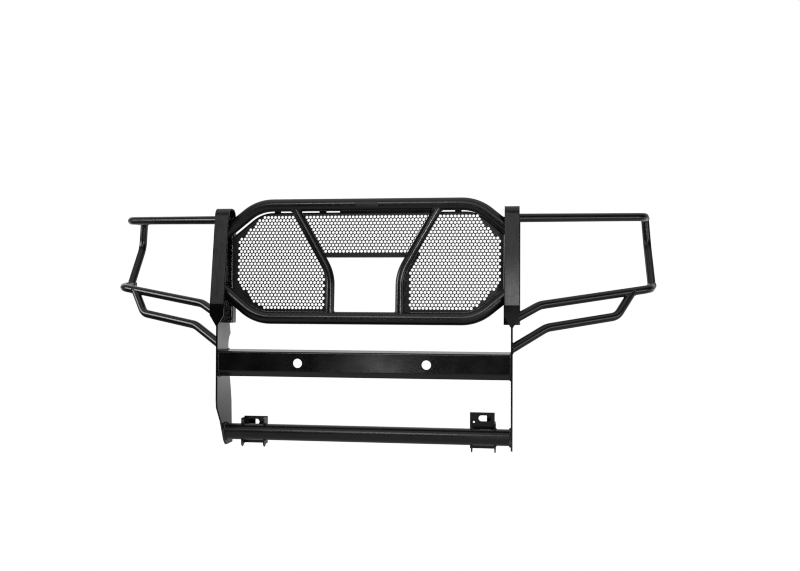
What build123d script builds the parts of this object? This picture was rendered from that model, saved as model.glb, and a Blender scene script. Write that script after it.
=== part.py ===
from build123d import *
import os
from math import atan2, ceil, cos, degrees, hypot, radians, sin, tan

os.makedirs("parts", exist_ok=True)

# Grille guard for a pickup truck: a welded guard that stands in front of the grille.
# X runs across the truck, Y to the rear, Z up.  The origin is on the crossbar's front
# face, midway between its two holes.  Every size is in millimetres.

# ---- driving dimensions -------------------------------------------------------------
weld_gap = 0.2            # room left at a coped joint between two curved surfaces

plate_spacing = 1022.0    # upright plates, centre to centre
plate_t = 6.35
plate_front_y = -4.0      # front edge of the plates and seat of the loop straps
plate_shoulder = (4.0, 131.8)           # past the post's back, and Z, below the post
plate_waist = ((138.0, 96.3), (118.0, 75.8), (114.0, 44.8))   # Y and Z round the hollow
plate_bar_room = 2.0      # plate behind the crossbar's back
plate_bar_margin = 1.5    # its corner, below the crossbar's top
plate_bar_drop = 10.0     # and below the crossbar's underside
plate_toe = (             # Y and Z round the lower end, from the crossbar's back
    (142.0, -97.2),
    (153.0, -149.2),
    (157.0, -227.2),
    (169.0, -303.2),
    (99.0, -302.2),
    (79.5, -284.2),
    (42.0, -213.2),
    (0.0, -159.2),
)
plate_toe_r = 6.0
plate_chin_z = -131.2     # front edge ends here

strap_w = 50.8
strap_t = 4.8
strap_tip_z = 122.8       # point of the spear
spear_h = 42.0
strap_kink_z = 196.0      # above this the strap leans back
strap_top_z = 544.8
strap_lean_run = 54.8     # how far back the strap leans by its top
strap_kink_r = 60.0
strap_front_r = 26.0
strap_rear_r = 26.0

pad_w = 48.2
pad_t = 4.0
pad_low_clear = 2.0       # from the kink's end up to the pad
pad_top_clear = 2.0       # from the pad up to the top bend

post_w = 57.0
post_depth = 43.0
post_wall = 3.2
post_corner_r = 5.0
post_front_y = 80.0
post_bottom_z = 135.8
post_top_z = 492.8

ring_tube_d = 44.45
ring_wall = 2.4
ring_mid_y = 74.0
ring_mid_z = 355.9
ring_lean = 4.1           # degrees that the ring's plane leans back
ring_half_h = 200.7       # centre lines, up and down the leaning plane
ring_corner_x = 389.0
ring_slope = 39.4         # degrees that the ring's ends fall away
ring_bend_r = 145.0

vee_tube_d = 31.75
vee_wall = 2.1
vee_foot_x = 124.0
vee_top_x = 263.0
vee_bend_v = -45.2
vee_bend_r = 150.0

bar_size = 14.2           # square centre bar
bar_mid_v = 21.5

sheet_t = 2.5
sheet_gap = 0.2           # from the vee tubes' backs to the mesh sheets
sheet_top_drop = 27.0     # sheet's upper edge, inside the ring's centre line
sheet_low_drop = 15.6     # lower edge, where the sheet meets the ring's curve
sheet_corner_r = 4.0
sheet_border = 13.0
tab_w = 23.0
tab_x = 324.0             # one tab on each outer sheet
centre_tabs = ((-158.8, 26.0), (71.5, 337.0))   # middle and width of each
mesh_pitch = 25.4         # one opening stands for four punched holes at half this pitch
mesh_open = 19.0          # opening across its flats

crossbar_h = 88.5
crossbar_low_z = -49.2
crossbar_depth = 129.0
crossbar_t = 4.8
crossbar_bend_r = 7.0
crossbar_facet_h = 18.5
crossbar_facet_run = 17.0
crossbar_hole_d = 32.0
crossbar_hole_pitch = 447.2

pipe_d = 57.15
pipe_wall = 3.9
pipe_y = 92.0
pipe_z = -253.2

bracket_x = {"left": -405.7, "right": 409.0}    # middle of each web
bracket_w = 85.5
bracket_t = 6.0
flange_t = 5.0
flange_inset = {"left": 0.0, "right": 5.0}      # inboard flange, in from the web's edge
bracket_front_y = 82.0
bracket_low_z = -297.2
bracket_top_z = {"left": -201.2, "right": -172.2}
hook_drop = 8.5           # point of the hook below the bracket
hook_near = 9.0           # point of the hook, behind the flange's front
hook_far = 23.0           # end of the hook's slope
flange_top_z = -204.0
slot_l = 43.5
slot_w = 21.0
slot_drop = 20.5          # from the web's top to the slot's centre
slot_offset = 8.7         # outboard of the bracket's middle
index_hole_d = 7.6
index_hole_offset = 29.0  # inboard of the bracket's middle
index_hole_drop = 33.5

flange_tail = 41.5        # the outboard flange runs on behind the web
angle_t = 6.0
angle_leg = 28.0          # along the tail
angle_inner_offset = 15.0 # inner edge, outboard of the bracket's middle
angle_top_clear = 8.0

wing_tube_d = 30.0
wing_wall = 2.4
wing_bend_r = 75.0
wing_tail = 34.0          # rails run on past the corner post's middle
cap_t = 3.0
rail_start = (64.0, 503.0)              # Y and Z at the plate
rail_bend = (996.0, 356.0, 529.2)
rail_end = (1027.5, 566.0, 543.8)
post_bend = (1038.5, 578.0, 434.7)
low_rail_end = (1038.0, 463.5, 275.3)
low_rail_bend = (1013.0, 329.5, 264.1)
low_rail_knee = (607.0, 115.7, 204.0)
low_rail_start = (67.0, 152.4)
brace_top = (944.0, 292.7, 253.9)
brace_elbow = (882.7, 236.6, 165.1)
brace_knee = (630.0, 107.8, 126.3)
brace_start = (46.9, 57.6)
brace_bend_r = 60.0
knee_bend_r = 90.0

# ---- sizes that follow from them ----------------------------------------------------
plate_x = plate_spacing / 2
inner_face = plate_x - plate_t / 2
outer_face = plate_x + plate_t / 2
sides = {"left": -1, "right": 1}
crossbar_top_z = crossbar_low_z + crossbar_h

post_back_y = post_front_y + post_depth
loop_seat_y = post_back_y - strap_t
seat_top_z = strap_top_z - strap_t
lean_angle = atan2(strap_lean_run, strap_top_z - strap_kink_z)
seat_top_y = plate_front_y + strap_lean_run + strap_t * (1 - sin(lean_angle)) / cos(lean_angle) - strap_t

# Seat of the loop strap on the plate's edge, from the spear's point to the rear post.
loop_points = (
    (plate_front_y, strap_tip_z),
    (plate_front_y, strap_kink_z),
    (seat_top_y, seat_top_z),
    (loop_seat_y, seat_top_z),
    (loop_seat_y, post_top_z),
)
loop_bends = (strap_kink_r, strap_front_r, strap_rear_r)

# The ring, the vee tubes and the mesh are drawn on one plane that leans back.
ring_plane = Plane(
    origin=(0, ring_mid_y, ring_mid_z),
    x_dir=(1, 0, 0),
    z_dir=(0, -cos(radians(ring_lean)), sin(radians(ring_lean))),
)
sheet_back = -vee_tube_d / 2 - sheet_gap - sheet_t


def fall(x):
    """How far the ring's end has dropped at x, from its corner."""
    return (x - ring_corner_x) * tan(radians(ring_slope))


def bent_tube(points, bends, outside, wall=None):
    """Tube along straight runs joined by bends; solid where no wall is given."""
    with BuildPart() as tube:
        with BuildLine():
            route = FilletPolyline(*points, radius=bends)
        with BuildSketch(route ^ 0):
            Circle(outside / 2)
            if wall:
                Circle(outside / 2 - wall, mode=Mode.SUBTRACT)
        sweep()
    return tube.part


def run_on(start, end, extra):
    """The point that lies extra beyond end, on the line from start."""
    line = Vector(*end) - Vector(*start)
    return tuple(Vector(*end) + line.normalized() * extra)


def on_ring(x, v):
    """A point of the ring's plane as a point in space."""
    return ring_plane.from_local_coords((x, v, 0))


# ---- uprights: plate, loop strap, rubber pad and rear post on each side --------------
straps = {}
for name, side in sides.items():
    middle = Plane.YZ.offset(side * plate_x)

    with BuildPart() as upright_plate:
        with BuildSketch(middle):
            with BuildLine():
                FilletPolyline(*loop_points, radius=loop_bends)
                Polyline(
                    (loop_seat_y, post_top_z),
                    (post_front_y, post_top_z),
                    (post_front_y, post_bottom_z),
                    (post_back_y, post_bottom_z),
                    (post_back_y + plate_shoulder[0], plate_shoulder[1]),
                    plate_waist[0],
                )
                Spline(*plate_waist)
                Polyline(
                    plate_waist[-1],
                    (crossbar_depth + plate_bar_room, crossbar_top_z - plate_bar_margin),
                    (crossbar_depth + plate_bar_room, crossbar_low_z - plate_bar_drop),
                    *plate_toe,
                    (plate_front_y, plate_chin_z),
                    (plate_front_y, strap_tip_z),
                )
            make_face()
        extrude(amount=plate_t / 2, both=True)
        toe = upright_plate.edges().filter_by(Axis.X).sort_by(Axis.Z)[0:2]
        fillet(toe, radius=6)
    upright_plate.part.label = f"{name}_upright_plate"
    export_step(upright_plate.part, f"parts/{name}_upright_plate.step")

    with BuildPart() as loop_strap:
        with BuildLine(middle):
            FilletPolyline(*loop_points, radius=loop_bends)
        with BuildSketch(Plane.XY.offset(strap_tip_z)):
            with Locations((side * plate_x, plate_front_y - strap_t / 2)):
                Rectangle(strap_w, strap_t)
        sweep()
        with BuildSketch(Plane.XZ.offset(-plate_front_y)):
            with Locations((side * plate_x, strap_tip_z)):
                for edge in (-strap_w / 2, strap_w / 2):
                    Polygon((edge, -1), (0, -1), (0, 0), (edge, spear_h), align=None)
        extrude(amount=strap_t, mode=Mode.SUBTRACT)
    loop_strap.part.label = f"{name}_loop_strap"
    export_step(loop_strap.part, f"parts/{name}_loop_strap.step")
    straps[name] = loop_strap.part

    up = (0, sin(lean_angle), cos(lean_angle))
    out = (0, -cos(lean_angle), sin(lean_angle))
    low_skip = strap_kink_r * tan(lean_angle / 2) + pad_low_clear
    top_skip = strap_front_r * tan((radians(90) - lean_angle) / 2) + pad_top_clear
    lean_length = hypot(seat_top_y - plate_front_y, seat_top_z - strap_kink_z)
    pad_seat = (
        Vector(side * plate_x, plate_front_y, strap_kink_z)
        + Vector(*up) * low_skip
        + Vector(*out) * strap_t
    )
    with BuildPart() as rubber_pad:
        with BuildSketch(Plane(origin=pad_seat, x_dir=(1, 0, 0), z_dir=up)):
            Rectangle(pad_w, pad_t, align=(Align.CENTER, Align.MAX))
        extrude(amount=lean_length - low_skip - top_skip)
        face = rubber_pad.faces().sort_by(Axis.Y)[0]
        fillet(face.edges(), radius=1.5)
    rubber_pad.part.label = f"{name}_rubber_pad"
    export_step(rubber_pad.part, f"parts/{name}_rubber_pad.step")

    with BuildPart() as rear_post:
        with BuildSketch(Plane.XY.offset(post_bottom_z)):
            with Locations((side * plate_x, post_front_y + post_depth / 2)):
                RectangleRounded(post_w, post_depth, post_corner_r)
                RectangleRounded(
                    post_w - 2 * post_wall,
                    post_depth - 2 * post_wall,
                    post_corner_r - post_wall,
                    mode=Mode.SUBTRACT,
                )
        extrude(amount=post_top_z - post_bottom_z)
    rear_post.part.label = f"{name}_rear_post"
    export_step(rear_post.part, f"parts/{name}_rear_post.step")


# The space of both rear posts, with room for the welds of the tubes that meet them.
with BuildPart() as post_space:
    with BuildSketch(Plane.XY.offset(post_bottom_z)):
        with GridLocations(plate_spacing, 0, 2, 1):
            with Locations((0, post_front_y + post_depth / 2)):
                Rectangle(post_w + 2 * weld_gap, post_depth + 2 * weld_gap)
    extrude(amount=post_top_z - post_bottom_z)


def keep_between_plates():
    """Cut the part being built off flush with both plates' inner faces."""
    split(bisect_by=Plane.YZ.offset(inner_face), keep=Keep.BOTTOM)
    split(bisect_by=Plane.YZ.offset(-inner_face), keep=Keep.TOP)


# ---- the ring: two hoops whose ends die into the uprights ----------------------------
hoop_forms = {}
for name, way in {"upper": 1, "lower": -1}.items():
    end_x = plate_x
    hoop_points = (
        on_ring(-end_x, way * (ring_half_h - fall(end_x))),
        on_ring(-ring_corner_x, way * ring_half_h),
        on_ring(ring_corner_x, way * ring_half_h),
        on_ring(end_x, way * (ring_half_h - fall(end_x))),
    )
    with BuildPart() as hoop:
        add(bent_tube(hoop_points, ring_bend_r, ring_tube_d, ring_wall))
        keep_between_plates()
        add(post_space.part, mode=Mode.SUBTRACT)
    hoop.part.label = f"{name}_hoop"
    export_step(hoop.part, f"parts/{name}_hoop.step")
    hoop_forms[name] = bent_tube(hoop_points, ring_bend_r, ring_tube_d + 2 * weld_gap)

# ---- vee tubes: coped on to the ring at both ends ------------------------------------
vee_forms = {}
for name, side in sides.items():
    vee_points = (
        on_ring(side * vee_foot_x, -ring_half_h),
        on_ring(side * vee_foot_x, vee_bend_v),
        on_ring(side * vee_top_x, ring_half_h),
    )
    with BuildPart() as vee_tube:
        add(bent_tube(vee_points, vee_bend_r, vee_tube_d, vee_wall))
        add(hoop_forms["upper"], mode=Mode.SUBTRACT)
        add(hoop_forms["lower"], mode=Mode.SUBTRACT)
    vee_tube.part.label = f"{name}_vee_tube"
    export_step(vee_tube.part, f"parts/{name}_vee_tube.step")
    vee_forms[name] = bent_tube(vee_points, vee_bend_r, vee_tube_d + 2 * weld_gap)

with BuildPart() as centre_bar:
    with BuildSketch(ring_plane.offset(-vee_tube_d / 2 - sheet_gap)):
        with Locations((0, bar_mid_v)):
            Rectangle(2 * vee_top_x, bar_size)
    extrude(amount=bar_size)
    add(vee_forms["left"], mode=Mode.SUBTRACT)
    add(vee_forms["right"], mode=Mode.SUBTRACT)
    middle_piece = centre_bar.solids().sort_by(SortBy.VOLUME)[-1]
    add(middle_piece, mode=Mode.REPLACE)
centre_bar.part.label = "centre_bar"
export_step(centre_bar.part, "parts/centre_bar.step")


# ---- mesh sheets: punched plate behind the vee tubes, held by tabs -------------------
def vee_x(v):
    """Distance of a vee tube's centre line from the middle, at height v."""
    rise = max(0, v - vee_bend_v) / (ring_half_h - vee_bend_v)
    return vee_foot_x + (vee_top_x - vee_foot_x) * rise


def openings(corners):
    """Staggered places for the openings, kept a border inside convex corners."""
    row_step = mesh_pitch * sin(radians(60))
    count_x = ceil(plate_spacing / mesh_pitch)
    count_v = ceil(ring_half_h / row_step)
    places = []
    for row in range(-count_v, count_v + 1):
        for column in range(-count_x, count_x + 1):
            spot = Vector((column + (row % 2) / 2) * mesh_pitch, row * row_step)
            inside = True
            for start, end in zip(corners, corners[1:] + corners[:1]):
                edge = (Vector(*end) - Vector(*start)).normalized()
                distance = edge.cross(spot - Vector(*start)).Z
                if distance < sheet_border:
                    inside = False
            if inside:
                places.append((spot.X, spot.Y))
    return places


sheet_top = ring_half_h - sheet_top_drop
sheet_low = -ring_half_h + sheet_low_drop
tab_h = sheet_top_drop - sheet_low_drop + sheet_corner_r


def mesh_sheet(corners, radii, tabs):
    """Flat sheet with its openings and with tabs up to the ring."""
    with BuildPart() as sheet:
        with BuildSketch(ring_plane.offset(sheet_back)):
            with BuildLine():
                FilletPolyline(*corners, radius=radii, close=True)
            make_face()
            for middle_x, width in tabs:
                with Locations((middle_x, sheet_top - sheet_corner_r)):
                    Rectangle(width, tab_h, align=(Align.CENTER, Align.MIN))
            with Locations(*openings(corners)):
                RegularPolygon(mesh_open / 2, 6, major_radius=False, mode=Mode.SUBTRACT)
        extrude(amount=sheet_t)
    return sheet.part


sheet_side = plate_x - post_w / 2 - weld_gap
half_turn = tan(radians(ring_slope / 2))
top_corner = ring_corner_x - sheet_top_drop * half_turn
low_corner = ring_corner_x - sheet_low_drop * half_turn
seam = 1.0                # half the gap between two sheets behind a vee tube

outer_corners = [
    (vee_x(sheet_low) + seam, sheet_low),
    (low_corner, sheet_low),
    (sheet_side, sheet_low + (sheet_side - low_corner) * tan(radians(ring_slope))),
    (sheet_side, sheet_top - (sheet_side - top_corner) * tan(radians(ring_slope))),
    (top_corner, sheet_top),
    (vee_x(sheet_top) + seam, sheet_top),
    (vee_foot_x + seam, vee_bend_v),
]
outer_radii = [
    sheet_corner_r,
    ring_bend_r - sheet_low_drop,
    sheet_corner_r,
    sheet_corner_r,
    ring_bend_r - sheet_top_drop,
    sheet_corner_r,
    vee_bend_r,
]
right_sheet = mesh_sheet(outer_corners, outer_radii, [(tab_x, tab_w)])
sheets = {"right_mesh_panel": right_sheet, "left_mesh_panel": mirror(right_sheet, about=Plane.YZ)}

centre_low = bar_mid_v - bar_size / 2
centre_corners = [
    (-vee_x(centre_low) + seam, centre_low),
    (vee_x(centre_low) - seam, centre_low),
    (vee_x(sheet_top) - seam, sheet_top),
    (-vee_x(sheet_top) + seam, sheet_top),
]
sheets["centre_mesh_panel"] = mesh_sheet(centre_corners, sheet_corner_r, centre_tabs)
for name, sheet in sheets.items():
    sheet.label = name
    export_step(sheet, f"parts/{name}.step")

# ---- crossbar: a folded channel, open to the rear ------------------------------------
facet_top_z = crossbar_low_z + crossbar_facet_h
with BuildPart() as crossbar:
    with BuildSketch(Plane.YZ.offset(-inner_face)) as channel:
        with BuildLine():
            FilletPolyline(
                (0, facet_top_z),
                (0, crossbar_top_z),
                (crossbar_depth, crossbar_top_z),
                (crossbar_depth, crossbar_low_z),
                (crossbar_facet_run, crossbar_low_z),
                radius=[crossbar_bend_r, crossbar_bend_r, 1, 1, crossbar_bend_r],
                close=True,
            )
        make_face()
        offset(amount=-crossbar_t, mode=Mode.SUBTRACT)
        with Locations((crossbar_depth, (crossbar_top_z + crossbar_low_z) / 2)):
            Rectangle(
                2 * crossbar_t,
                crossbar_h - 2 * crossbar_t,
                mode=Mode.SUBTRACT,
            )
    extrude(amount=2 * inner_face)
    with BuildSketch(Plane.XZ):
        with GridLocations(crossbar_hole_pitch, 0, 2, 1):
            Circle(crossbar_hole_d / 2)
    extrude(amount=-2 * crossbar_t, mode=Mode.SUBTRACT)
crossbar.part.label = "crossbar"
export_step(crossbar.part, "parts/crossbar.step")

# ---- lower pipe ----------------------------------------------------------------------
with BuildPart() as lower_pipe:
    with BuildSketch(Plane.YZ.offset(-inner_face)):
        with Locations((pipe_y, pipe_z)):
            Circle(pipe_d / 2)
            Circle(pipe_d / 2 - pipe_wall, mode=Mode.SUBTRACT)
    extrude(amount=2 * inner_face)
lower_pipe.part.label = "lower_pipe"
export_step(lower_pipe.part, "parts/lower_pipe.step")

# ---- mount brackets and the frame angles in their rear corners ---------------------------------
web_front_y = pipe_y + pipe_d / 2 + weld_gap
web_back_y = web_front_y + bracket_t
tail_y = web_back_y + flange_tail
for name, side in sides.items():
    top_z = bracket_top_z[name]
    middle_x = bracket_x[name]
    edge_x = middle_x + side * bracket_w / 2
    # The right bracket's outboard flange laps the web's edge; the left one's is flush with it.
    lap = flange_t if name == "right" else 0
    outboard_x = edge_x + side * (lap - flange_t / 2)
    inboard_x = middle_x - side * (bracket_w / 2 - flange_inset[name] - flange_t / 2)
    tail_x = edge_x - side * flange_t / 2
    with BuildPart() as mount_bracket:
        with BuildSketch(Plane.XZ.offset(-web_front_y)):
            with Locations((middle_x, bracket_low_z)):
                Rectangle(bracket_w, top_z - bracket_low_z, align=(Align.CENTER, Align.MIN))
        extrude(amount=-bracket_t)
        for flange_x in (inboard_x, outboard_x):
            with BuildSketch(Plane.YZ.offset(flange_x)):
                with BuildLine():
                    Polyline(
                        (web_back_y, flange_top_z),
                        (bracket_front_y, flange_top_z),
                        (bracket_front_y, bracket_low_z),
                        (bracket_front_y + hook_near, bracket_low_z - hook_drop),
                        (bracket_front_y + hook_far, bracket_low_z),
                        (web_back_y, bracket_low_z),
                        close=True,
                    )
                make_face()
            extrude(amount=flange_t / 2, both=True)
        with BuildSketch(Plane.YZ.offset(tail_x)):
            with BuildLine():
                Polyline(
                    (web_back_y, top_z),
                    (tail_y, top_z - angle_top_clear),
                    (tail_y, bracket_low_z),
                    (web_back_y, bracket_low_z),
                    close=True,
                )
            make_face()
        extrude(amount=flange_t / 2, both=True)
        with BuildSketch(Plane.YZ.offset(middle_x)):
            with Locations((pipe_y, pipe_z)):
                Circle(pipe_d / 2 + weld_gap)
        extrude(amount=bracket_w, both=True, mode=Mode.SUBTRACT)
        with BuildSketch(Plane.XZ.offset(-web_front_y)):
            with Locations((middle_x + side * slot_offset, top_z - slot_drop)):
                SlotOverall(slot_l, slot_w)
            with Locations((middle_x - side * index_hole_offset, top_z - index_hole_drop)):
                Circle(index_hole_d / 2)
        extrude(amount=-bracket_t, mode=Mode.SUBTRACT)
    mount_bracket.part.label = f"{name}_mount_bracket"
    export_step(mount_bracket.part, f"parts/{name}_mount_bracket.step")

    tail_inner_x = edge_x - side * flange_t
    angle_inner_x = middle_x + side * angle_inner_offset
    with BuildPart() as frame_angle:
        with BuildSketch(Plane.XY.offset(bracket_low_z)):
            with Locations((tail_inner_x - side * angle_t / 2, tail_y)):
                Rectangle(angle_t, angle_leg, align=(Align.CENTER, Align.MAX))
            with Locations(((tail_inner_x + angle_inner_x) / 2, tail_y)):
                Rectangle(
                    abs(tail_inner_x - angle_inner_x),
                    angle_t,
                    align=(Align.CENTER, Align.MAX),
                )
        extrude(amount=top_z - angle_top_clear - bracket_low_z)
    frame_angle.part.label = f"{name}_frame_angle"
    export_step(frame_angle.part, f"parts/{name}_frame_angle.step")

# ---- headlight guards: two rails, a corner post and a brace on each side -------------
for name, side in sides.items():
    way = Keep.TOP if side > 0 else Keep.BOTTOM
    plate_face = Plane.YZ.offset(side * outer_face)

    def place(point):
        """The same point on this side of the guard."""
        return Vector(side * point[0], point[1], point[2])

    def at_plate(start, following):
        """Point inside the plate, on the line that passes start at its outer face."""
        first = (outer_face, *start)
        return place(run_on(following, first, plate_t))

    rail_points = (
        at_plate(rail_start, rail_bend),
        place(rail_bend),
        place(run_on(rail_bend, rail_end, wing_tail)),
    )
    low_points = (
        at_plate(low_rail_start, low_rail_knee),
        place(low_rail_knee),
        place(low_rail_bend),
        place(run_on(low_rail_bend, low_rail_end, wing_tail)),
    )
    low_bends = [knee_bend_r, wing_bend_r]
    rail_form = bent_tube(rail_points, wing_bend_r, wing_tube_d + 2 * weld_gap)
    low_form = bent_tube(low_points, low_bends, wing_tube_d + 2 * weld_gap)

    with BuildPart() as top_rail:
        add(bent_tube(rail_points, wing_bend_r, wing_tube_d, wing_wall))
        split(bisect_by=plate_face, keep=way)
        add(post_space.part, mode=Mode.SUBTRACT)
    top_rail.part.label = f"{name}_top_rail"
    export_step(top_rail.part, f"parts/{name}_top_rail.step")

    with BuildPart() as lower_rail:
        add(bent_tube(low_points, low_bends, wing_tube_d, wing_wall))
        split(bisect_by=plate_face, keep=way)
        add(post_space.part, mode=Mode.SUBTRACT)
    lower_rail.part.label = f"{name}_lower_rail"
    export_step(lower_rail.part, f"parts/{name}_lower_rail.step")

    with BuildPart() as corner_post:
        post_points = (place(rail_end), place(post_bend), place(low_rail_end))
        add(bent_tube(post_points, wing_bend_r, wing_tube_d, wing_wall))
        add(rail_form, mode=Mode.SUBTRACT)
        add(low_form, mode=Mode.SUBTRACT)
    corner_post.part.label = f"{name}_corner_post"
    export_step(corner_post.part, f"parts/{name}_corner_post.step")

    with BuildPart() as brace_tube:
        brace_points = (
            place(brace_top),
            place(brace_elbow),
            place(brace_knee),
            at_plate(brace_start, brace_knee),
        )
        add(bent_tube(brace_points, [brace_bend_r, knee_bend_r], wing_tube_d, wing_wall))
        add(low_form, mode=Mode.SUBTRACT)
        split(bisect_by=plate_face, keep=way)
    brace_tube.part.label = f"{name}_brace_tube"
    export_step(brace_tube.part, f"parts/{name}_brace_tube.step")

    with BuildPart() as end_caps:
        for before, end in ((rail_bend, rail_end), (low_rail_bend, low_rail_end)):
            tail = place(run_on(before, end, wing_tail))
            along = tail - place(end)
            with BuildSketch(Plane(origin=tail, z_dir=along)):
                Circle(wing_tube_d / 2)
            extrude(amount=cap_t)
    end_caps.part.label = f"{name}_end_caps"
    export_step(end_caps.part, f"parts/{name}_end_caps.step")
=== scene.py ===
from math import cos, pi, radians, sin, tan

import bpy
import numpy as np
from mathutils import Matrix, Vector
from mathutils.geometry import delaunay_2d_cdt


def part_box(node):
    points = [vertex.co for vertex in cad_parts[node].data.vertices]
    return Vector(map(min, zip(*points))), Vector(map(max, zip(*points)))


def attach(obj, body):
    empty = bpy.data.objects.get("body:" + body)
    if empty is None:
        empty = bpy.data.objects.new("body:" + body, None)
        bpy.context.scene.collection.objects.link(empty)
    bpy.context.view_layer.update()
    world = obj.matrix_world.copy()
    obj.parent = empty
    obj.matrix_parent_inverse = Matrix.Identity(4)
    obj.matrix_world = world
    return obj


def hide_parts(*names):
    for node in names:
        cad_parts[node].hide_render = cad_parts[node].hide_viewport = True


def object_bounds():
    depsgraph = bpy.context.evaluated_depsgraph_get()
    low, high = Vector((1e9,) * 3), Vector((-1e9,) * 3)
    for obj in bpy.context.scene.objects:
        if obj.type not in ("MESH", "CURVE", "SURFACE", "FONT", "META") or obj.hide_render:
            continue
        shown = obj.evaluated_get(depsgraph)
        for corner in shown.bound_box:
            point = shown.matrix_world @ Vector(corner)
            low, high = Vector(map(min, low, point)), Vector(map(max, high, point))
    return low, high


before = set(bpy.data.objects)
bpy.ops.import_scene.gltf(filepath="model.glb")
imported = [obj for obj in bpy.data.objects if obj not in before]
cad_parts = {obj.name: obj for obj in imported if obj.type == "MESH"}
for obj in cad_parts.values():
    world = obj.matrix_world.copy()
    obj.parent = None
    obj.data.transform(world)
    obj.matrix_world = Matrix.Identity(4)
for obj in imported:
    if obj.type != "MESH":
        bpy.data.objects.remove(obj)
cad_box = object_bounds()

# ---- Camera ---------------------------------------------------------------------------
# A 39 mm lens three metres in front of the crossbar, level with the middle of the guard
# and in line with the right upright, turned a little towards the middle.
camera_data = bpy.data.cameras.new("camera")
camera_data.lens = 39.38
camera_data.sensor_width = 36.0
camera = bpy.data.objects.new("camera", camera_data)
camera_turn = Matrix.Rotation(radians(7.29), 4, "Z")
camera_tilt = Matrix.Rotation(radians(90.75), 4, "X")
camera_roll = Matrix.Rotation(radians(0.231), 4, "Z")
camera_place = Matrix.Translation((0.5109, -2.9566, 0.2308))
camera.matrix_world = camera_place @ camera_turn @ camera_tilt @ camera_roll
bpy.context.scene.collection.objects.link(camera)
bpy.context.scene.camera = camera
bpy.context.scene.view_settings.view_transform = "Standard"
bpy.context.scene.cycles.filter_width = 1.1


# ---- Studio ---------------------------------------------------------------------------
# A white sweep behind and above the guard and a dim room in front of it, so that flat
# black faces stay black and every edge and tube carries a long soft light.
class Link:
    """A shader value. Arithmetic on it adds Math nodes, and make() adds any other node."""

    def __init__(self, tree, socket=None):
        self.tree = tree
        self.socket = socket

    def make(self, kind, settings=None, inputs=None, output=0):
        """Adds a node, sets its settings, then fills its sockets with values or links."""
        node = self.tree.nodes.new("ShaderNode" + kind)
        for name, value in (settings or {}).items():
            setattr(node, name, value)
        for name, value in (inputs or {}).items():
            if isinstance(value, Link):
                self.tree.links.new(value.socket, node.inputs[name])
            else:
                node.inputs[name].default_value = value
        return Link(self.tree, node.outputs[output]) if node.outputs else None

    def math(self, operation, *values):
        return self.make("Math", {"operation": operation}, dict(enumerate(values)))

    def __add__(self, other):
        return self.math("ADD", self, other)

    def __rsub__(self, other):
        return self.math("SUBTRACT", other, self)

    def __mul__(self, other):
        return self.math("MULTIPLY", self, other)

    __radd__ = __add__
    __rmul__ = __mul__

    def ramp(self, low, high):
        """0 below low, 1 above high, smooth between."""
        settings = {"interpolation_type": "SMOOTHSTEP"}
        inputs = {"Value": self, "From Min": low, "From Max": high}
        return self.make("MapRange", settings, inputs)

    def mix(self, low, high):
        """Colour from low to high as this value goes from 0 to 1."""
        inputs = {0: self, 6: low, 7: high}
        return self.make("Mix", {"data_type": "RGBA"}, inputs, output=2)


def rgb(value, tint=(1.0, 1.0, 1.0)):
    """A grey of that linear value, times a tint, as a colour with alpha."""
    return (value * tint[0], value * tint[1], value * tint[2], 1.0)


room = bpy.data.worlds.new("room")
bpy.context.scene.world = room
room.use_nodes = True
room.node_tree.nodes.clear()
sky = Link(room.node_tree)
direction = sky.make("TexCoord", output=0)
sky_x, sky_y, sky_z = (
    sky.make("SeparateXYZ", inputs={0: direction}, output=axis) for axis in range(3)
)
leftward = (sky_x * -1.0).ramp(-0.25, 0.05)
above_low = sky_z.ramp(0.04, 0.30)
horizon_glow = (1.0 - above_low) * 0.42
sweep_glow = above_low * (1.0 - sky_z.ramp(0.45, 0.80)) * (leftward * 0.75 + 0.45)
glow = sky_y.ramp(0.2, 0.75) * (horizon_glow + sweep_glow) + sky_z.ramp(0.5, 0.95) * 0.75
to_eye = sky.make("LightPath", output=0)
lit = sky.make("Background", inputs={0: rgb(1.0), 1: glow})
plain = sky.make("Background", inputs={0: rgb(1.0), 1: 1.0})
sky.make("OutputWorld", inputs={0: sky.make("MixShader", inputs={0: to_eye, 1: lit, 2: plain})})

# The floor is white paper to the eye.  In the gloss of the steel it is dim nearby and
# brighter further back, as a sweep lit from behind is, and it stops short of the camera.
floor_gap = 0.001
floor_z = cad_box[0][2] - floor_gap
floor_front = -1.5
floor_reach = 14.0
floor_mesh = bpy.data.meshes.new("floor")
floor_corners = [
    (-floor_reach, floor_front),
    (floor_reach, floor_front),
    (floor_reach, floor_reach),
    (-floor_reach, floor_reach),
]
floor_mesh.from_pydata([(x, y, floor_z) for x, y in floor_corners], [], [(0, 1, 2, 3)])
floor = bpy.data.objects.new("floor", floor_mesh)
bpy.context.scene.collection.objects.link(floor)
floor_finish = bpy.data.materials.new("floor_paper")
floor_finish.use_nodes = True
floor_finish.node_tree.nodes.clear()
paper = Link(floor_finish.node_tree)
spot = paper.make("TexCoord", output=3)
floor_x, floor_y = (
    paper.make("SeparateXYZ", inputs={0: spot}, output=axis) for axis in range(2)
)
far = floor_y.ramp(0.0, 4.0)
shine = far * 1.25 + (1.0 - far) * (floor_x * -1.0).ramp(1.8, 0.6) * 0.38
dimmed = paper.make("Emission", inputs={0: rgb(1.0), 1: shine})
white = paper.make("Emission", inputs={0: rgb(1.0), 1: 1.0})
to_eye = paper.make("LightPath", output=0)
paper.make("OutputMaterial", inputs={0: paper.make("MixShader", inputs={0: to_eye, 1: dimmed, 2: white})})
floor_mesh.materials.append(floor_finish)


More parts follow.
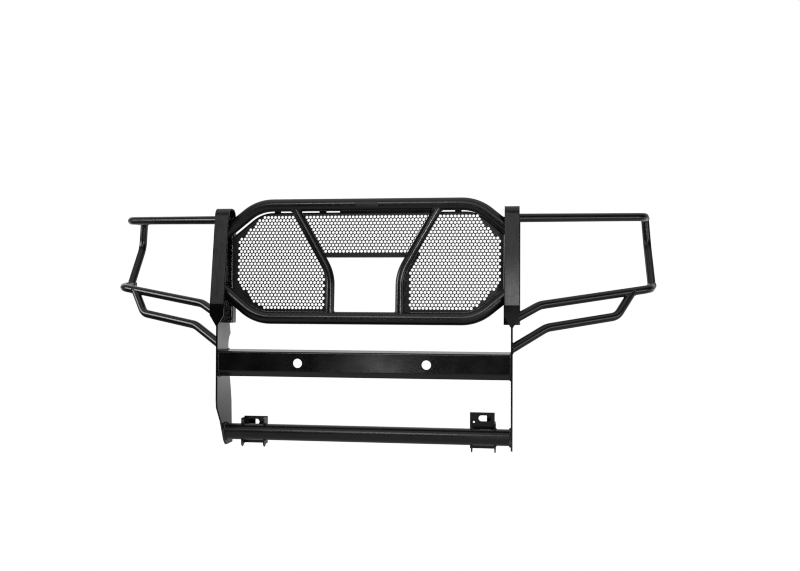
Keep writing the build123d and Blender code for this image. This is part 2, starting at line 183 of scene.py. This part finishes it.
def soft_light(name, place, target, size, power):
    """A rectangular area light at place, turned to target, that the eye doesn't see."""
    data = bpy.data.lights.new(name, "AREA")
    data.shape = "RECTANGLE"
    data.size = size[0]
    data.size_y = size[1]
    data.energy = power
    light = bpy.data.objects.new(name, data)
    light.location = place
    aim = Vector(target) - Vector(place)
    light.rotation_euler = aim.to_track_quat("-Z", "Y").to_euler()
    light.visible_camera = False
    bpy.context.scene.collection.objects.link(light)


# Two wide boxes high in front draw the long soft lights on the tubes, a small one far to the
# right lifts the right pad, a low one glows on the crossbar, and two panels light the sides.
soft_light("high_strip", (-0.73, -4.2, 2.6), (0.0, 0.1, 0.3), (1.6, 0.9), 38.0)
soft_light("right_strip", (1.5, -4.2, 2.6), (0.2, 0.1, 0.3), (1.2, 0.9), 11.0)
soft_light("pad_box", (1.7, -4.0, 0.4), (0.5, 0.0, 0.3), (0.4, 0.4), 50.0)
soft_light("low_spot", (-0.52, -4.0, -0.43), (0.0, 0.0, 0.0), (0.35, 0.2), 1.9)
soft_light("left_panel", (-3.2, -0.9, 1.0), (-0.75, 0.2, 0.4), (1.8, 0.9), 50.0)
soft_light("right_panel", (3.2, -1.2, 0.1), (0.75, 0.2, 0.4), (2.0, 0.8), 15.0)


# ---- Steel tubes, plates and channel --------------------------------------------------
# Mild steel, blasted, welded into one guard and then powder coated black in one go.  The
# coat is semi-gloss, with a faint orange peel and a soft change of gloss from run to run.
def coat(name, shade, gloss, spread, peel):
    """Powder coat: base colour drifting round shade, roughness from gloss to gloss + spread,
    and a fine bump of strength peel."""
    tint = (0.96, 0.98, 1.06)
    material = bpy.data.materials.new(name)
    material.use_nodes = True
    material.node_tree.nodes.clear()
    start = Link(material.node_tree)
    place = start.make("TexCoord", output=3)
    drift = start.make("TexNoise", inputs={"Vector": place, "Scale": 9.0, "Detail": 4.0})
    grain = start.make("TexNoise", inputs={"Vector": place, "Scale": 420.0, "Detail": 2.0})
    patch = drift.ramp(0.36, 0.64)
    colour = (patch * 0.7 + grain * 0.3).mix(rgb(shade * 0.7, tint), rgb(shade * 1.3, tint))
    bump = start.make("Bump", inputs={"Strength": peel, "Distance": 0.0003, "Height": grain})
    sockets = {"Base Color": colour, "Roughness": patch * spread + gloss, "Normal": bump, "IOR": 1.5}
    start.make("OutputMaterial", inputs={0: start.make("BsdfPrincipled", inputs=sockets)})
    return material


tube_coat = coat("tube_coat", shade=0.004, gloss=0.25, spread=0.06, peel=0.004)
plate_coat = coat("plate_coat", shade=0.003, gloss=0.17, spread=0.06, peel=0.015)
flat_pieces = ("plate", "strap", "rear_post", "bracket", "angle", "crossbar")
for name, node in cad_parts.items():
    if "mesh_panel" in name or "rubber_pad" in name:
        continue
    finish = plate_coat if any(word in name for word in flat_pieces) else tube_coat
    node.data.materials.clear()
    node.data.materials.append(finish)

# ---- Punched mesh panels --------------------------------------------------------------
# Three sheets of 2.5 mm steel punched with staggered 10.3 mm round holes, cut to the ring's
# shape with a plain border.  They lie behind the vee tubes, and tabs tie them to the ring.
# Places on a sheet are x and v, the height on the ring's leaning plane from its middle.
sheet_coat = coat("sheet_coat", shade=0.002, gloss=0.32, spread=0.06, peel=0.02)
mm = 0.001
hole_r = 5.15 * mm
hole_sides = 14
pitch = 12.9 * mm
row_rise = pitch * sin(radians(60))
rows_each_way = 40
columns_each_way = 60
field_slack = 0.2 * mm
sheet_t = 2.5 * mm
lean = radians(4.1)
ring_mid = np.array([0.0, 74.0, 355.9]) * mm
ring_half = 200.7 * mm
ring_corner = 389.0 * mm
ring_slope = radians(39.4)
top_drop = 24.2 * mm
low_drop = 15.6 * mm
vee_foot = 124.0 * mm
vee_top = 263.0 * mm
vee_bend = -45.2 * mm
vee_r = 15.875 * mm
sheet_side = 482.3 * mm
sheet_corner_r = 4.0 * mm
low_sweep_r = 129.4 * mm
top_sweep_r = 118.0 * mm
vee_bend_r = 150.0 * mm
seam = 1.0 * mm
tab_v = ring_half - low_drop
bar_low_v = 14.4 * mm
inside_with_holes = 2
join_below = 1e-7
front_height = -vee_r - 0.2 * mm
half_turn = tan(ring_slope / 2)
sheet_top = ring_half - top_drop
sheet_low = -ring_half + low_drop
top_corner = ring_corner - top_drop * half_turn
low_corner = ring_corner - low_drop * half_turn
side_fall = tan(ring_slope)


def unit(vector):
    """The vector, or each row of vectors, at length one."""
    return vector / np.linalg.norm(vector, axis=-1, keepdims=True)


def rounded(corners, radii, steps=10):
    """Closed outline through corners, each turned by an arc of its radius.

    A corner's arc starts and ends radius * tan(turn / 2) from it and is sampled by angle.
    """
    points = np.array(corners, float)
    runs = []
    neighbours = zip(points, np.roll(points, 1, 0), np.roll(points, -1, 0), radii)
    for here, before, after, radius in neighbours:
        back = (before - here) / np.linalg.norm(before - here)
        on = (after - here) / np.linalg.norm(after - here)
        half = np.arccos(np.clip(back @ on, -1, 1)) / 2
        centre = here + (back + on) / np.linalg.norm(back + on) * radius / sin(half)
        first = here + back * radius / tan(half) - centre
        last = here + on * radius / tan(half) - centre
        share = np.linspace(0, 1, steps)[:, None]
        sweep = pi - 2 * half
        arc = first * np.sin((1 - share) * sweep) + last * np.sin(share * sweep)
        runs.append(centre + arc / sin(sweep))
    return np.concatenate(runs)


def vee_line(v):
    """Distance of a vee tube's centre line from the middle at height v: straight up from its
    foot to the bend, and from there in a straight line to its top."""
    return vee_foot + (vee_top - vee_foot) * max(0.0, v - vee_bend) / (ring_half - vee_bend)


def hole_field(field, start):
    """Centres of a staggered pattern through start, kept inside a convex field.

    Every other row is shifted by half a pitch.  A spot's depth inside an edge is the cross
    product of the edge's direction and the way from the edge's start to the spot.
    """
    rows = np.arange(-rows_each_way, rows_each_way + 1)
    columns = np.arange(-columns_each_way, columns_each_way + 1)
    v = (start[1] + rows * row_rise)[:, None] + columns * 0.0
    x = start[0] + (columns + (rows % 2)[:, None] / 2) * pitch
    spots = np.stack([x.ravel(), v.ravel()], 1)
    edge = unit(np.roll(field, -1, 0) - field)
    offset = spots[:, None, :] - field
    depth = edge[:, 0] * offset[:, :, 1] - edge[:, 1] * offset[:, :, 0]
    return spots[(depth > -field_slack).all(1)]


def to_space(flat, height):
    """Points (x, v) of the ring's plane, height towards the front, as points in space."""
    x, v = flat[:, 0], flat[:, 1]
    y = ring_mid[1] + v * sin(lean) - height * cos(lean)
    z = ring_mid[2] + v * cos(lean) + height * sin(lean)
    return np.stack([x, y, z], 1)


def add_mesh(name, points, faces, material, smooth=False):
    """A new object at the origin from arrays of points and faces."""
    mesh = bpy.data.meshes.new(name)
    mesh.from_pydata(np.asarray(points).tolist(), [], [list(map(int, face)) for face in faces])
    mesh.materials.append(material)
    if smooth:
        mesh.shade_smooth()
        mesh.set_sharp_from_angle(angle=radians(50))
    piece = bpy.data.objects.new(name, mesh)
    bpy.context.scene.collection.objects.link(piece)
    return piece


def punched(side, outline, tabs, field, start):
    """Sheet cut to outline with tabs and round holes, as a closed solid.

    The flat faces come from a constrained triangulation of the outline and the hole rims;
    the cut walls join each rim on the front face to the same rim on the back face.
    """
    body = outline
    top = outline[:, 1].max()
    for middle, width in tabs:
        tab_right, tab_left = middle + width / 2, middle - width / 2
        tab = [[tab_right, top], [tab_right, tab_v], [tab_left, tab_v], [tab_left, top]]
        on_top = np.where(body[:, 1] > top - 1e-6)[0]
        after = [i for i in on_top if body[i, 0] > tab_right][-1]
        body = np.insert(body, after + 1, tab, axis=0)
    centres = hole_field(field, start)
    turn = np.arange(hole_sides) * 2 * pi / hole_sides
    rim = np.stack([np.cos(turn), np.sin(turn)], 1) * hole_r
    holes = (centres[:, None, :] + rim).reshape(-1, 2)
    flat = np.concatenate([body, holes])
    count = len(body)
    loops = [np.arange(count)]
    loops += list(count + np.arange(len(holes)).reshape(-1, hole_sides)[:, ::-1])
    corners = [Vector(point) for point in flat]
    cut_lines = [loop.tolist() for loop in loops]
    result = delaunay_2d_cdt(corners, [], cut_lines, inside_with_holes, join_below)
    # No rim meets another or the outline, so the points come back as they were given.
    assert np.allclose([tuple(point) for point in result[0]], flat, atol=1e-6)
    triangles = np.array(result[2])
    front = to_space(flat, front_height)
    back = to_space(flat, front_height - sheet_t)
    size = len(flat)
    walls = []
    for loop in loops:
        ahead = np.roll(loop, -1)
        walls += np.stack([loop, loop + size, ahead + size, ahead], 1).tolist()
    faces = triangles.tolist() + (triangles[:, ::-1] + size).tolist() + walls
    piece = add_mesh(side + "_punched_sheet", np.concatenate([front, back]), faces, sheet_coat)
    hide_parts(side + "_mesh_panel")
    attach(piece, "root")


def side_outline(extra):
    """Outline of a right-hand sheet whose upper corner stands out by extra."""
    corners = [
        [vee_line(sheet_low) + seam, sheet_low],
        [low_corner, sheet_low],
        [sheet_side, sheet_low + (sheet_side - low_corner) * side_fall],
        [sheet_side, sheet_top - (sheet_side - top_corner - extra) * side_fall],
        [top_corner + extra, sheet_top],
        [vee_line(sheet_top) + seam, sheet_top],
        [vee_foot + seam, vee_bend],
    ]
    small = sheet_corner_r
    return rounded(corners, [small, low_sweep_r, small, small, top_sweep_r, small, vee_bend_r])


right_extra = 11.0 * mm
side_tab = (324.0 * mm, 23.0 * mm)
centre_tabs = [(-158.8 * mm, 26.0 * mm), (70.5 * mm, 335.0 * mm)]
flipped = np.array([-1.0, 1.0])
right_field = np.array([
    [155.0, -163.3], [383.1, -163.3], [470.0, -76.6], [470.0, 76.4],
    [390.8, 160.6], [252.5, 160.6], [155.0, -32.6],
]) * mm
left_field = np.array([
    [149.0, -163.5], [371.0, -163.5], [404.5, -141.1], [463.0, -77.5],
    [463.0, 75.6], [381.0, 160.4], [262.0, 160.4], [149.0, -35.0],
]) * mm
right_start = (261.6 * mm, 160.6 * mm)
left_start = (-268.0 * mm, 160.4 * mm)
left_tab = (-side_tab[0], side_tab[1])
left_outline = (side_outline(0.0) * flipped)[::-1]
punched("right", side_outline(right_extra), [side_tab], right_field, right_start)
punched("left", left_outline, [left_tab], (left_field * flipped)[::-1], left_start)

centre_corners = [
    [-vee_line(bar_low_v) + seam, bar_low_v],
    [vee_line(bar_low_v) - seam, bar_low_v],
    [vee_line(sheet_top) - seam, sheet_top],
    [-vee_line(sheet_top) + seam, sheet_top],
]
centre_outline = rounded(centre_corners, [sheet_corner_r] * 4)
centre_field = np.array([[-152.6, 37.2], [157.4, 37.2], [228.5, 160.3], [-223.7, 160.3]]) * mm
centre_start = (-216.8 * mm, 160.3 * mm)
punched("centre", centre_outline, centre_tabs, centre_field, centre_start)

# ---- Rubber pads ----------------------------------------------------------------------
# Strips of 4 mm black rubber glued to the leaning fronts of the loop straps.  They are cut
# square, their edges are rounded over, and handling has left them a little mottled.  The
# right one's foot is painted pale, a painted highlight for the light that falls on its lower end.
pad_rubber = bpy.data.materials.new("pad_rubber")
pad_rubber.use_nodes = True
pad_rubber.node_tree.nodes.clear()
rubber = Link(pad_rubber.node_tree)
rubber_place = rubber.make("TexCoord", output=3)
drawn_down = rubber.make("Mapping", inputs={0: rubber_place, 3: (1.0, 1.0, 0.12)})
streaks = rubber.make("TexNoise", inputs={"Vector": drawn_down, "Scale": 130.0, "Detail": 3.0})
mottle = rubber.make("TexNoise", inputs={"Vector": rubber_place, "Scale": 240.0, "Detail": 2.0})
smears = rubber.make("TexNoise", inputs={"Vector": rubber_place, "Scale": 14.0, "Detail": 3.0})
rubbed = (
    streaks.ramp(0.34, 0.66) * 0.35 + mottle.ramp(0.36, 0.64) * 0.40 + smears.ramp(0.35, 0.65) * 0.25
)
rubber_bump = rubber.make("Bump", inputs={"Strength": 0.15, "Distance": 0.0003, "Height": mottle})
rubber_x, rubber_z = (
    rubber.make("SeparateXYZ", inputs={0: rubber_place}, output=axis) for axis in (0, 2)
)
# Painted highlight: the right pad is painted pale towards its foot, standing in for light falling on its
# lower end.
painted_foot_highlight = (rubber_z * -1.0).ramp(-0.40, -0.22) * rubber_x.ramp(0.47, 0.50) * (rubbed * 0.5 + 0.5)
rubber_sockets = {
    "Base Color": painted_foot_highlight.mix(rubbed.mix(rgb(0.008), rgb(0.030)), rgb(0.17)),
    "Roughness": rubbed * 0.14 + 0.38,
    "Normal": rubber_bump,
    "IOR": 1.38,
}
rubber_surface = rubber.make("BsdfPrincipled", inputs=rubber_sockets)
rubber.make("OutputMaterial", inputs={0: rubber_surface})
pad_t = 3.8 * mm
pad_edge = 0.8 * mm
pad_crown = 0.05
pad_node_t = 4.0 * mm
strap_rise = 348.8 * mm
strap_run = 54.8 * mm
strap_lean = np.arctan2(strap_run, strap_rise)


def rounded_step(size, steps=5, middle=14):
    """Places along a strip of that size and its height there, as a share of pad_t.

    A wall, a quarter round of radius pad_edge, a flat, and the same again in reverse.
    """
    turn = np.linspace(0, pi / 2, steps)
    rise = np.concatenate([[0.0], 1 - pad_edge / pad_t * (1 - np.sin(turn))])
    run = np.concatenate([[0.0], pad_edge * (1 - np.cos(turn))])
    flat = np.linspace(pad_edge, size - pad_edge, middle)[1:-1]
    place = np.concatenate([run, flat, size - run[::-1]])
    return place, np.concatenate([rise, np.ones(len(flat)), rise[::-1]])


def grid_faces(rows, columns, wrap_rows=False, wrap_columns=False):
    """Quads of a grid of rows x columns points, joined round where it wraps."""
    row = np.arange(rows if wrap_rows else rows - 1)[:, None]
    column = np.arange(columns if wrap_columns else columns - 1)[None, :]
    here = row * columns + column
    across = row * columns + (column + 1) % columns
    onward = (row + 1) % rows * columns + column
    corner = (row + 1) % rows * columns + (column + 1) % columns
    return np.stack([here, across, corner, onward], 2).reshape(-1, 4)


def grid_rim(rows, columns):
    """The points round the edge of such a grid, as one face that closes it from behind."""
    number = np.arange(rows * columns).reshape(rows, columns)
    sides = [number[:, 0], number[-1, 1:], number[-2::-1, -1], number[0, -2:0:-1]]
    return np.concatenate(sides).tolist()


def own_piece(name, points, faces, material):
    """A smooth new piece that rides on the guard, finished with the material it is given."""
    piece = add_mesh(name, points, faces, material, smooth=True)
    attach(piece, "root")
    return piece


for side in ("left", "right"):
    low, high = (np.array(corner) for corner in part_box(side + "_rubber_pad"))
    up = np.array([0.0, sin(strap_lean), cos(strap_lean)])
    out = np.array([0.0, -cos(strap_lean), sin(strap_lean)])
    foot = np.array([(low[0] + high[0]) / 2, low[1] + pad_node_t * cos(strap_lean), low[2]])
    pad_w = high[0] - low[0]
    pad_l = (high[2] - low[2] - pad_node_t * sin(strap_lean)) / cos(strap_lean)
    along, lift = rounded_step(pad_l, middle=60)
    across, rise = rounded_step(pad_w)
    crown = 1 + pad_crown * (1 - (2 * across / pad_w - 1) ** 2)
    height = pad_t * lift[:, None] * (rise * crown)[None, :]
    sideways = (across - pad_w / 2)[None, :, None] * np.array([1.0, 0.0, 0.0])
    grid = foot + along[:, None, None] * up + sideways
    points = (grid + height[:, :, None] * out).reshape(-1, 3)
    rows, columns = height.shape
    faces = grid_faces(rows, columns).tolist() + [grid_rim(rows, columns)]
    pad = own_piece(side + "_pad_strip", points, faces, pad_rubber)
    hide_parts(side + "_rubber_pad")

# ---- Weld beads -----------------------------------------------------------------------
# Every joint of the guard is MIG welded.  A bead is a row of overlapping puddles, so it
# swells and pinches once every few millimetres; the powder coat covers it as it does the
# steel, a little thinner and glossier on the crests.
weld_coat = coat("weld_coat", shade=0.008, gloss=0.20, spread=0.10, peel=0.20)
puddle = 3.2 * mm
bead_sides = 8
steps_a_puddle = 5
# Radii of the beads, from the pipe's ends down to the discs that close the rails.
pipe_bead, web_bead, ring_bead, flat_bead, tube_bead = np.array([4.6, 3.2, 3.0, 2.8, 2.6]) * mm
shoulder_bead, stitch_bead, bar_bead, sheet_bead, cap_bead = np.array([2.4, 2.2, 2.0, 1.8, 1.5]) * mm
plate_low, plate_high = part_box("right_upright_plate")
inner_x, outer_x = plate_low[0], plate_high[0]
plate_x = (inner_x + outer_x) / 2
plate_half = (outer_x - inner_x) / 2
ring_r = 22.225 * mm
wing_r = 15.0 * mm
across_x = np.array([1.0, 0.0, 0.0])


def bead(path, radius, closed=False):
    """Points and faces of a bead that follows a path.

    The path is sampled a few times a puddle.  At distance s the bead is a circle across the
    path of radius r (0.86 + 0.2 |sin(pi s / puddle)|), and an open bead tapers off within a
    puddle and a half of each end.
    """
    path = np.concatenate([path, path[:1]]) if closed else np.asarray(path)
    walked = np.concatenate([[0.0], np.cumsum(np.linalg.norm(np.diff(path, axis=0), axis=1))])
    puddles = max(3, round(walked[-1] / puddle))
    s = np.linspace(0, walked[-1], steps_a_puddle * puddles + 1)
    line = np.stack([np.interp(s, walked, path[:, axis]) for axis in range(3)], 1)
    swell = 0.86 + 0.2 * np.abs(np.sin(pi * s * puddles / walked[-1]))
    if closed:
        line, swell = line[:-1], swell[:-1]
        along = unit(np.roll(line, -1, 0) - np.roll(line, 1, 0))
    else:
        along = unit(np.gradient(line, axis=0))
        nearest = np.minimum(s, walked[-1] - s) / (1.5 * puddle)
        swell = swell * np.sqrt(np.clip(nearest, 0.01, 1))
    # The first point of each circle faces away from a closed path's middle; on an open bead
    # any way that isn't along it will do.
    away = line - line.mean(0) if closed else np.ones(line.shape)
    first = unit(away - (away * along).sum(1, keepdims=True) * along)
    second = np.cross(along, first)
    turn = np.arange(bead_sides) * 2 * pi / bead_sides
    circle = np.cos(turn)[:, None] * first[:, None] + np.sin(turn)[:, None] * second[:, None]
    points = line[:, None] + (radius * swell)[:, None, None] * circle
    count = len(line)
    faces = grid_faces(count, bead_sides, wrap_rows=closed, wrap_columns=True).tolist()
    if not closed:
        faces.append(list(range(bead_sides))[::-1])
        faces.append(list(range((count - 1) * bead_sides, count * bead_sides)))
    return points.reshape(-1, 3), faces


def weld_group(name, beads):
    """One piece from several beads."""
    points = np.concatenate([each[0] for each in beads])
    faces = []
    first = 0
    for each_points, each_faces in beads:
        faces += [[first + corner for corner in face] for face in each_faces]
        first += len(each_points)
    return own_piece(name, points, faces, weld_coat)


def circle_round(centre, along, radius, count=72):
    """Points of a circle round an axis."""
    side_way = unit(np.cross(along, across_x if abs(along[0]) < 0.9 else np.array([0.0, 0, 1.0])))
    up_way = np.cross(along, side_way)
    turn = np.arange(count)[:, None] * 2 * pi / count
    return centre + radius * (np.cos(turn) * side_way + np.sin(turn) * up_way)


def meet_plane(start, along, radius, x):
    """Where a tube's surface crosses the upright plane at x, by running lines along it."""
    ring = circle_round(start, along, radius)
    return ring + (x - ring[:, :1]) / along[0] * along


def meet_tube(start, along, radius, point, axis, other):
    """Where a tube runs into another of radius other round an axis through point.

    Each line of the branch solves |w + t a| = other for its nearer t, where w and a are the
    parts of its start and direction that lie across the other tube's axis.
    """
    ring = circle_round(start, along, radius)
    reach = ring - point
    w = reach - (reach @ axis)[:, None] * axis
    a = along - (along @ axis) * axis
    square = a @ a
    middle = w @ a
    inside = np.maximum(middle**2 - square * ((w * w).sum(1) - other**2), 0)
    return ring + ((-middle - np.sqrt(inside)) / square)[:, None] * along


def kept_run(path, keep):
    """The stretch of a closed path where keep is true, in order."""
    first = np.where(keep & ~np.roll(keep, 1))[0][0]
    return np.roll(path, -first, 0)[np.roll(keep, -first)]


def on_ring(x, v, height=0.0):
    """A point of the ring's plane, moved by height towards the front."""
    return to_space(np.array([[x, v]]), height)[0]


post_low, post_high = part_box("right_rear_post")
post_half = (post_high[0] - post_low[0]) / 2
post_front = post_low[1]
bar_high_v = 28.6 * mm
bar_end_in = 17.2 * mm
bar_end_back = 3.0 * mm
ring_beads = []
vee_beads = []
for side in (-1, 1):
    for way in (-1, 1):
        corner = on_ring(side * ring_corner, way * ring_half)
        onward = on_ring(side * (ring_corner + 1), way * (ring_half - tan(ring_slope)))
        along = unit(onward - corner)
        at_plate = meet_plane(corner, along, ring_r, side * inner_x)
        ring_beads.append(bead(at_plate, ring_bead, True))
        at_post = meet_plane(corner, along, ring_r, side * (plate_x - post_half))
        ring_beads.append(bead(kept_run(at_post, at_post[:, 1] > post_front), tube_bead))
    bend = on_ring(side * vee_foot, vee_bend)
    foot = on_ring(side * vee_foot, -ring_half)
    top = on_ring(side * vee_top, ring_half)
    for end, hoop in ((foot, on_ring(0, -ring_half)), (top, on_ring(0, ring_half))):
        joint = meet_tube(bend, unit(end - bend), vee_r, hoop, across_x, ring_r)
        vee_beads.append(bead(joint, tube_bead, True))
    cheek = [
        on_ring(side * (vee_line(v) - bar_end_in), v, -bar_end_back) for v in (bar_low_v, bar_high_v)
    ]
    vee_beads.append(bead(np.array(cheek), bar_bead))
weld_group("ring_welds", ring_beads)
weld_group("vee_welds", vee_beads)

rail_start = np.array([outer_x, 64 * mm, 503 * mm])
rail_bend = np.array([996.0, 356.0, 529.2]) * mm
rail_end = np.array([1027.5, 566.0, 543.8]) * mm
post_bend = np.array([1038.5, 578.0, 434.7]) * mm
low_end = np.array([1038.0, 463.5, 275.3]) * mm
low_bend = np.array([1013.0, 329.5, 264.1]) * mm
low_knee = np.array([607.0, 115.7, 204.0]) * mm
low_start = np.array([outer_x, 67 * mm, 152.4 * mm])
brace_top = np.array([944.0, 292.7, 253.9]) * mm
brace_elbow = np.array([882.7, 236.6, 165.1]) * mm
brace_knee = np.array([630.0, 107.8, 126.3]) * mm
brace_start = np.array([outer_x, 46.9 * mm, 57.6 * mm])
tail = 34.0 * mm
cap_inset = 0.3 * mm
wing_beads = []
for side in (-1, 1):
    mirror = np.array([side, 1.0, 1.0])

    def toward(start, end):
        """Direction from one point to another on this side of the guard."""
        return unit((end - start) * mirror)

    on_plate = ((rail_start, rail_bend), (low_start, low_knee), (brace_start, brace_knee))
    for start, near in on_plate:
        joint = meet_plane(start * mirror, toward(near, start), wing_r, side * outer_x)
        wing_beads.append(bead(joint, flat_bead, True))
    on_tubes = (
        (post_bend, rail_end, rail_bend, rail_end),
        (post_bend, low_end, low_bend, low_end),
        (brace_elbow, brace_top, low_knee, low_bend),
    )
    for start, end, other_start, other_end in on_tubes:
        branch = toward(start, end)
        main = toward(other_start, other_end)
        joint = meet_tube(start * mirror, branch, wing_r, other_end * mirror, main, wing_r)
        wing_beads.append(bead(joint, tube_bead, True))
    for bend, end in ((rail_bend, rail_end), (low_bend, low_end)):
        along = toward(bend, end)
        rim = circle_round(end * mirror + along * tail, along, wing_r - cap_inset)
        wing_beads.append(bead(rim, cap_bead, True))
weld_group("wing_welds", wing_beads)

pipe_low, pipe_high = (np.array(corner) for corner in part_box("lower_pipe"))
pipe_mid = (pipe_low + pipe_high) / 2
pipe_r = (pipe_high[2] - pipe_low[2]) / 2
bar_low, bar_high = (np.array(corner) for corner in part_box("crossbar"))
facet_run, facet_h, bar_bend = 17.0 * mm, 18.5 * mm, 7.0 * mm
nose_steps = 7
bar_weld_back = 4.0 * mm
plate_gap = 1.0 * mm
bead_seat = 0.8 * mm
frame_beads = []
for side in (-1, 1):
    end_x = side * (inner_x - plate_gap)
    rim = circle_round(pipe_mid * [0, 1, 1] + across_x * end_x, across_x, pipe_r + bead_seat)
    frame_beads.append(bead(rim, pipe_bead, True))
    arc = np.linspace(0, pi / 2, nose_steps)[:, None]
    nose_mid = np.array([end_x, bar_low[1] + bar_bend, bar_high[2] - bar_bend])
    nose = nose_mid + bar_bend * np.concatenate([arc * 0, -np.sin(arc), np.cos(arc)], 1)
    weld_back = bar_high[1] - bar_weld_back
    profile = np.concatenate([
        [[end_x, weld_back, bar_high[2]]],
        nose,
        [[end_x, bar_low[1], bar_low[2] + facet_h]],
        [[end_x, bar_low[1] + facet_run, bar_low[2]]],
        [[end_x, weld_back, bar_low[2]]],
    ])
    frame_beads.append(bead(profile, flat_bead))
weld_group("frame_welds", frame_beads)

# The brackets' flanges sit astride the pipe, with a bead down each side of each flange, and
# a seam joins the web's front to the pipe.
flange_half = 2.5 * mm
toe_gap = 0.6 * mm
right_inset = 5.0 * mm
saddle_from, saddle_to = radians(14.0), radians(104.0)
saddle_steps = 24
saddle_r = pipe_r + bead_seat
web_front = pipe_high[1] + 0.2 * mm
seam_y = web_front - 3.0 * mm
seam_z = pipe_mid[2] + pipe_r * 0.55
seam_end_in = 14.0 * mm
bracket_beads = []
for side, inset in (("left", 0.0), ("right", right_inset)):
    low, high = (np.array(corner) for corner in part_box(side + "_mount_bracket"))
    for cheek in (low[0] + inset + flange_half, high[0] - flange_half):
        for face in (cheek - flange_half - toe_gap, cheek + flange_half + toe_gap):
            for way in (-1, 1):
                turn = np.linspace(saddle_from, saddle_to, saddle_steps) * way
                arc_y = pipe_mid[1] + saddle_r * np.cos(turn)
                arc_z = pipe_mid[2] + saddle_r * np.sin(turn)
                arc = np.stack([turn * 0 + face, arc_y, arc_z], 1)
                bracket_beads.append(bead(arc, tube_bead))
    seam_ends = [[low[0] + seam_end_in, seam_y, seam_z], [high[0] - seam_end_in, seam_y, seam_z]]
    bracket_beads.append(bead(np.array(seam_ends), web_bead))
# One spot laps the top corner of the right bracket's outboard flange.
flange_top = -204.0 * mm
lap_start = [high[0] - 6.0 * mm, web_front, flange_top + 2.0 * mm]
lap_end = [high[0] - 2.0 * mm, web_front, flange_top - 0.5 * mm]
bracket_beads.append(bead(np.array([lap_start, lap_end]), tube_bead))
weld_group("bracket_welds", bracket_beads)

# Short stitches hold the straps and posts to the plates, and a bead runs across each post's
# top, near its back.
stitch = 38.0 * mm
plate_front = -4.0 * mm
seat_low = np.array([0.0, plate_front, 196.0 * mm])
seat_high = np.array([0.0, 50.1 * mm, 540.0 * mm])
seat_way = unit(seat_high - seat_low)
seat_shares = (0.1, 0.37, 0.64, 0.9)
tip_stitch_z = 160.0 * mm
post_stitch_z = np.array([180.0, 270.0, 360.0, 450.0]) * mm
shoulder_half = 22.0 * mm
shoulder_y = post_high[1] - 5.6 * mm
shoulder_z = post_high[2] + 0.6 * mm
upward = np.array([0.0, 0.0, 1.0])
stitch_beads = []
for side in (-1, 1):
    for face in (-1, 1):
        at_face = across_x * (side * plate_x + face * (plate_half + bead_seat))
        runs = [(seat_low + (seat_high - seat_low) * share, seat_way, 1) for share in seat_shares]
        runs += [(np.array([0.0, plate_front, tip_stitch_z]), upward, 1)]
        runs += [(np.array([0.0, post_front, z]), upward, -1) for z in post_stitch_z]
        for middle, along, rearward in runs:
            spot = middle + at_face + np.array([0.0, rearward * bead_seat, 0.0])
            ends = np.array([spot - along * stitch / 2, spot + along * stitch / 2])
            stitch_beads.append(bead(ends, stitch_bead))
    shoulder_mid = np.array([side * plate_x, shoulder_y, shoulder_z])
    shoulder_reach = across_x * shoulder_half
    shoulder = np.array([shoulder_mid - shoulder_reach, shoulder_mid + shoulder_reach])
    stitch_beads.append(bead(shoulder, shoulder_bead))
weld_group("stitch_welds", stitch_beads)

# Tacks hold the sheets' tabs to the ring's top run and their lower edges to its bottom run.
# Each row is a middle and a width, and its tack runs over four fifths of that width.
tack_height = front_height - 1.5 * mm
top_tacks = np.array([
    [-324.0, 23.0], [324.0, 23.0], [-158.8, 26.0], [-60.0, 50.0], [60.0, 50.0], [190.0, 50.0],
])
low_tacks = np.array([[x, 35.0] for x in (-330.0, -250.0, -170.0, 170.0, 250.0, 330.0)])
tack_share = 0.4
tack_beads = []
for tacks, v in ((top_tacks * mm, tab_v), (low_tacks * mm, -tab_v)):
    for middle, width in tacks:
        half = width * tack_share
        ends = [on_ring(middle - half, v, tack_height), on_ring(middle + half, v, tack_height)]
        tack_beads.append(bead(np.array(ends), sheet_bead))
weld_group("sheet_tacks", tack_beads)

# ---- Label plate ----------------------------------------------------------------------
# A thin blank foil on the front of the ring's top run, rolled to the tube.  It is satin
# black with a bare face, and only its edge and its flatter shine set it off.
label_coat = coat("label_foil", shade=0.012, gloss=0.46, spread=0.05, peel=0.02)
label_w, label_t = 81.0 * mm, 0.4 * mm
label_sunk = 0.05 * mm
label_x = 4.7 * mm
label_low, label_high = radians(-30.0), radians(24.0)
points_across, points_around = 40, 12
power_across, power_around = 40, 20
across = np.linspace(-label_w / 2, label_w / 2, points_across)
around = np.linspace(label_low, label_high, points_around)
# Its thickness falls off at the edges as 1 - |t|^power, where t runs from -1 to 1 over it.
edge_x = 1 - (np.abs(across) * 2 / label_w) ** power_across
label_turn, label_mid = label_high - label_low, (label_low + label_high) / 2
edge_v = 1 - (np.abs(around - label_mid) * 2 / label_turn) ** power_around
skin = ring_r - label_sunk + label_t * edge_x[:, None] * edge_v[None, :]
hoop_mid = on_ring(0, ring_half)
label_points = np.stack([
    np.broadcast_to((label_x + across)[:, None], skin.shape),
    hoop_mid[1] - skin * np.cos(around)[None, :],
    hoop_mid[2] + skin * np.sin(around)[None, :],
], 2).reshape(-1, 3)
skin_faces = grid_faces(*skin.shape).tolist() + [grid_rim(*skin.shape)]
label_faces = [face[::-1] for face in skin_faces]
own_piece("label_plate", label_points, label_faces, label_coat)
